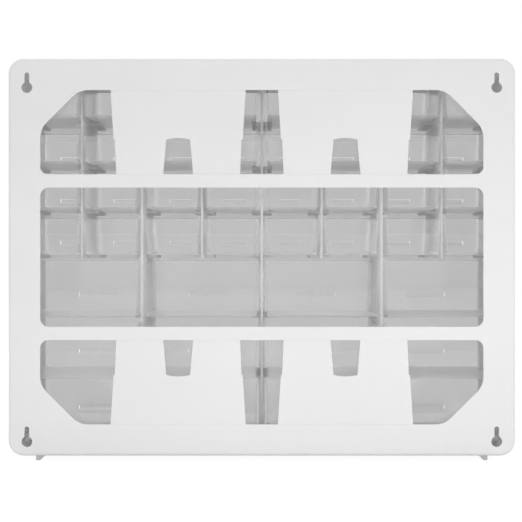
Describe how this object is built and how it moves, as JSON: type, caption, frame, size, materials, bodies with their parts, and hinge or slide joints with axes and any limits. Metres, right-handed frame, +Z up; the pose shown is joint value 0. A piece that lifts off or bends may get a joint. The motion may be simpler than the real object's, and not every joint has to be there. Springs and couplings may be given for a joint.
{
  "type": "small parts drawer cabinet",
  "caption": "Wall or bench cabinet with rows of small clear drawers above larger ones, in a white frame with a windowed rear panel and keyholes.",
  "frame": {"origin": "under the middle of the cabinet, at the soles of its feet", "axes": "+Z up, +X to the right seen from the drawer side, +Y out of the rear panel; the drawers open towards -Y"},
  "size_m": [0.508, 0.162, 0.404],
  "materials": {
    "white_polystyrene": "satin moulded",
    "clear_polystyrene": "clear moulded"
  },
  "bodies": {
    "cabinet": {"rear_panel": "white_polystyrene", "case_walls": "white_polystyrene", "side_ledges": "white_polystyrene", "partition_1": "white_polystyrene", "partition_2": "white_polystyrene", "partition_3": "white_polystyrene", "partition_4": "white_polystyrene", "partition_5": "white_polystyrene", "partition_6": "white_polystyrene", "partition_7": "white_polystyrene", "front_rail_1": "white_polystyrene", "front_rail_2": "white_polystyrene", "front_rail_3": "white_polystyrene", "front_rail_4": "white_polystyrene", "front_rail_5": "white_polystyrene", "front_rail_6": "white_polystyrene"},
    "large_drawer_r1_c1": {"large_drawer_r1_c1": "clear_polystyrene"},
    "large_drawer_r1_c2": {"large_drawer_r1_c2": "clear_polystyrene"},
    "large_drawer_r1_c3": {"large_drawer_r1_c3": "clear_polystyrene"},
    "large_drawer_r1_c4": {"large_drawer_r1_c4": "clear_polystyrene"},
    "large_drawer_r2_c1": {"large_drawer_r2_c1": "clear_polystyrene"},
    "large_drawer_r2_c2": {"large_drawer_r2_c2": "clear_polystyrene"},
    "large_drawer_r2_c3": {"large_drawer_r2_c3": "clear_polystyrene"},
    "large_drawer_r2_c4": {"large_drawer_r2_c4": "clear_polystyrene"},
    "large_drawer_r3_c1": {"large_drawer_r3_c1": "clear_polystyrene"},
    "large_drawer_r3_c2": {"large_drawer_r3_c2": "clear_polystyrene"},
    "large_drawer_r3_c3": {"large_drawer_r3_c3": "clear_polystyrene"},
    "large_drawer_r3_c4": {"large_drawer_r3_c4": "clear_polystyrene"},
    "small_drawer_r1_c1": {"small_drawer_r1_c1": "clear_polystyrene"},
    "small_drawer_r1_c2": {"small_drawer_r1_c2": "clear_polystyrene"},
    "small_drawer_r1_c3": {"small_drawer_r1_c3": "clear_polystyrene"},
    "small_drawer_r1_c4": {"small_drawer_r1_c4": "clear_polystyrene"},
    "small_drawer_r1_c5": {"small_drawer_r1_c5": "clear_polystyrene"},
    "small_drawer_r1_c6": {"small_drawer_r1_c6": "clear_polystyrene"},
    "small_drawer_r1_c7": {"small_drawer_r1_c7": "clear_polystyrene"},
    "small_drawer_r1_c8": {"small_drawer_r1_c8": "clear_polystyrene"},
    "small_drawer_r2_c1": {"small_drawer_r2_c1": "clear_polystyrene"},
    "small_drawer_r2_c2": {"small_drawer_r2_c2": "clear_polystyrene"},
    "small_drawer_r2_c3": {"small_drawer_r2_c3": "clear_polystyrene"},
    "small_drawer_r2_c4": {"small_drawer_r2_c4": "clear_polystyrene"},
    "small_drawer_r2_c5": {"small_drawer_r2_c5": "clear_polystyrene"},
    "small_drawer_r2_c6": {"small_drawer_r2_c6": "clear_polystyrene"},
    "small_drawer_r2_c7": {"small_drawer_r2_c7": "clear_polystyrene"},
    "small_drawer_r2_c8": {"small_drawer_r2_c8": "clear_polystyrene"},
    "small_drawer_r3_c1": {"small_drawer_r3_c1": "clear_polystyrene"},
    "small_drawer_r3_c2": {"small_drawer_r3_c2": "clear_polystyrene"},
    "small_drawer_r3_c3": {"small_drawer_r3_c3": "clear_polystyrene"},
    "small_drawer_r3_c4": {"small_drawer_r3_c4": "clear_polystyrene"},
    "small_drawer_r3_c5": {"small_drawer_r3_c5": "clear_polystyrene"},
    "small_drawer_r3_c6": {"small_drawer_r3_c6": "clear_polystyrene"},
    "small_drawer_r3_c7": {"small_drawer_r3_c7": "clear_polystyrene"},
    "small_drawer_r3_c8": {"small_drawer_r3_c8": "clear_polystyrene"},
    "small_drawer_r4_c1": {"small_drawer_r4_c1": "clear_polystyrene"},
    "small_drawer_r4_c2": {"small_drawer_r4_c2": "clear_polystyrene"},
    "small_drawer_r4_c3": {"small_drawer_r4_c3": "clear_polystyrene"},
    "small_drawer_r4_c4": {"small_drawer_r4_c4": "clear_polystyrene"},
    "small_drawer_r4_c5": {"small_drawer_r4_c5": "clear_polystyrene"},
    "small_drawer_r4_c6": {"small_drawer_r4_c6": "clear_polystyrene"},
    "small_drawer_r4_c7": {"small_drawer_r4_c7": "clear_polystyrene"},
    "small_drawer_r4_c8": {"small_drawer_r4_c8": "clear_polystyrene"}
  },
  "joints": [
    {"name": "large_drawer_r1_c1_slide", "type": "slide", "parent": "cabinet", "child": "large_drawer_r1_c1", "axis": [0, -1, 0], "range_m": [0, 0.119]},
    {"name": "large_drawer_r1_c2_slide", "type": "slide", "parent": "cabinet", "child": "large_drawer_r1_c2", "axis": [0, -1, 0], "range_m": [0, 0.119]},
    {"name": "large_drawer_r1_c3_slide", "type": "slide", "parent": "cabinet", "child": "large_drawer_r1_c3", "axis": [0, -1, 0], "range_m": [0, 0.119]},
    {"name": "large_drawer_r1_c4_slide", "type": "slide", "parent": "cabinet", "child": "large_drawer_r1_c4", "axis": [0, -1, 0], "range_m": [0, 0.119]},
    {"name": "large_drawer_r2_c1_slide", "type": "slide", "parent": "cabinet", "child": "large_drawer_r2_c1", "axis": [0, -1, 0], "range_m": [0, 0.119]},
    {"name": "large_drawer_r2_c2_slide", "type": "slide", "parent": "cabinet", "child": "large_drawer_r2_c2", "axis": [0, -1, 0], "range_m": [0, 0.119]},
    {"name": "large_drawer_r2_c3_slide", "type": "slide", "parent": "cabinet", "child": "large_drawer_r2_c3", "axis": [0, -1, 0], "range_m": [0, 0.119]},
    {"name": "large_drawer_r2_c4_slide", "type": "slide", "parent": "cabinet", "child": "large_drawer_r2_c4", "axis": [0, -1, 0], "range_m": [0, 0.119]},
    {"name": "large_drawer_r3_c1_slide", "type": "slide", "parent": "cabinet", "child": "large_drawer_r3_c1", "axis": [0, -1, 0], "range_m": [0, 0.119]},
    {"name": "large_drawer_r3_c2_slide", "type": "slide", "parent": "cabinet", "child": "large_drawer_r3_c2", "axis": [0, -1, 0], "range_m": [0, 0.119]},
    {"name": "large_drawer_r3_c3_slide", "type": "slide", "parent": "cabinet", "child": "large_drawer_r3_c3", "axis": [0, -1, 0], "range_m": [0, 0.119]},
    {"name": "large_drawer_r3_c4_slide", "type": "slide", "parent": "cabinet", "child": "large_drawer_r3_c4", "axis": [0, -1, 0], "range_m": [0, 0.119]},
    {"name": "small_drawer_r1_c1_slide", "type": "slide", "parent": "cabinet", "child": "small_drawer_r1_c1", "axis": [0, -1, 0], "range_m": [0, 0.119]},
    {"name": "small_drawer_r1_c2_slide", "type": "slide", "parent": "cabinet", "child": "small_drawer_r1_c2", "axis": [0, -1, 0], "range_m": [0, 0.119]},
    {"name": "small_drawer_r1_c3_slide", "type": "slide", "parent": "cabinet", "child": "small_drawer_r1_c3", "axis": [0, -1, 0], "range_m": [0, 0.119]},
    {"name": "small_drawer_r1_c4_slide", "type": "slide", "parent": "cabinet", "child": "small_drawer_r1_c4", "axis": [0, -1, 0], "range_m": [0, 0.119]},
    {"name": "small_drawer_r1_c5_slide", "type": "slide", "parent": "cabinet", "child": "small_drawer_r1_c5", "axis": [0, -1, 0], "range_m": [0, 0.119]},
    {"name": "small_drawer_r1_c6_slide", "type": "slide", "parent": "cabinet", "child": "small_drawer_r1_c6", "axis": [0, -1, 0], "range_m": [0, 0.119]},
    {"name": "small_drawer_r1_c7_slide", "type": "slide", "parent": "cabinet", "child": "small_drawer_r1_c7", "axis": [0, -1, 0], "range_m": [0, 0.119]},
    {"name": "small_drawer_r1_c8_slide", "type": "slide", "parent": "cabinet", "child": "small_drawer_r1_c8", "axis": [0, -1, 0], "range_m": [0, 0.119]},
    {"name": "small_drawer_r2_c1_slide", "type": "slide", "parent": "cabinet", "child": "small_drawer_r2_c1", "axis": [0, -1, 0], "range_m": [0, 0.119]},
    {"name": "small_drawer_r2_c2_slide", "type": "slide", "parent": "cabinet", "child": "small_drawer_r2_c2", "axis": [0, -1, 0], "range_m": [0, 0.119]},
    {"name": "small_drawer_r2_c3_slide", "type": "slide", "parent": "cabinet", "child": "small_drawer_r2_c3", "axis": [0, -1, 0], "range_m": [0, 0.119]},
    {"name": "small_drawer_r2_c4_slide", "type": "slide", "parent": "cabinet", "child": "small_drawer_r2_c4", "axis": [0, -1, 0], "range_m": [0, 0.119]},
    {"name": "small_drawer_r2_c5_slide", "type": "slide", "parent": "cabinet", "child": "small_drawer_r2_c5", "axis": [0, -1, 0], "range_m": [0, 0.119]},
    {"name": "small_drawer_r2_c6_slide", "type": "slide", "parent": "cabinet", "child": "small_drawer_r2_c6", "axis": [0, -1, 0], "range_m": [0, 0.119]},
    {"name": "small_drawer_r2_c7_slide", "type": "slide", "parent": "cabinet", "child": "small_drawer_r2_c7", "axis": [0, -1, 0], "range_m": [0, 0.119]},
    {"name": "small_drawer_r2_c8_slide", "type": "slide", "parent": "cabinet", "child": "small_drawer_r2_c8", "axis": [0, -1, 0], "range_m": [0, 0.119]},
    {"name": "small_drawer_r3_c1_slide", "type": "slide", "parent": "cabinet", "child": "small_drawer_r3_c1", "axis": [0, -1, 0], "range_m": [0, 0.119]},
    {"name": "small_drawer_r3_c2_slide", "type": "slide", "parent": "cabinet", "child": "small_drawer_r3_c2", "axis": [0, -1, 0], "range_m": [0, 0.119]},
    {"name": "small_drawer_r3_c3_slide", "type": "slide", "parent": "cabinet", "child": "small_drawer_r3_c3", "axis": [0, -1, 0], "range_m": [0, 0.119]},
    {"name": "small_drawer_r3_c4_slide", "type": "slide", "parent": "cabinet", "child": "small_drawer_r3_c4", "axis": [0, -1, 0], "range_m": [0, 0.119]},
    {"name": "small_drawer_r3_c5_slide", "type": "slide", "parent": "cabinet", "child": "small_drawer_r3_c5", "axis": [0, -1, 0], "range_m": [0, 0.119]},
    {"name": "small_drawer_r3_c6_slide", "type": "slide", "parent": "cabinet", "child": "small_drawer_r3_c6", "axis": [0, -1, 0], "range_m": [0, 0.119]},
    {"name": "small_drawer_r3_c7_slide", "type": "slide", "parent": "cabinet", "child": "small_drawer_r3_c7", "axis": [0, -1, 0], "range_m": [0, 0.119]},
    {"name": "small_drawer_r3_c8_slide", "type": "slide", "parent": "cabinet", "child": "small_drawer_r3_c8", "axis": [0, -1, 0], "range_m": [0, 0.119]},
    {"name": "small_drawer_r4_c1_slide", "type": "slide", "parent": "cabinet", "child": "small_drawer_r4_c1", "axis": [0, -1, 0], "range_m": [0, 0.119]},
    {"name": "small_drawer_r4_c2_slide", "type": "slide", "parent": "cabinet", "child": "small_drawer_r4_c2", "axis": [0, -1, 0], "range_m": [0, 0.119]},
    {"name": "small_drawer_r4_c3_slide", "type": "slide", "parent": "cabinet", "child": "small_drawer_r4_c3", "axis": [0, -1, 0], "range_m": [0, 0.119]},
    {"name": "small_drawer_r4_c4_slide", "type": "slide", "parent": "cabinet", "child": "small_drawer_r4_c4", "axis": [0, -1, 0], "range_m": [0, 0.119]},
    {"name": "small_drawer_r4_c5_slide", "type": "slide", "parent": "cabinet", "child": "small_drawer_r4_c5", "axis": [0, -1, 0], "range_m": [0, 0.119]},
    {"name": "small_drawer_r4_c6_slide", "type": "slide", "parent": "cabinet", "child": "small_drawer_r4_c6", "axis": [0, -1, 0], "range_m": [0, 0.119]},
    {"name": "small_drawer_r4_c7_slide", "type": "slide", "parent": "cabinet", "child": "small_drawer_r4_c7", "axis": [0, -1, 0], "range_m": [0, 0.119]},
    {"name": "small_drawer_r4_c8_slide", "type": "slide", "parent": "cabinet", "child": "small_drawer_r4_c8", "axis": [0, -1, 0], "range_m": [0, 0.119]}
  ]
}
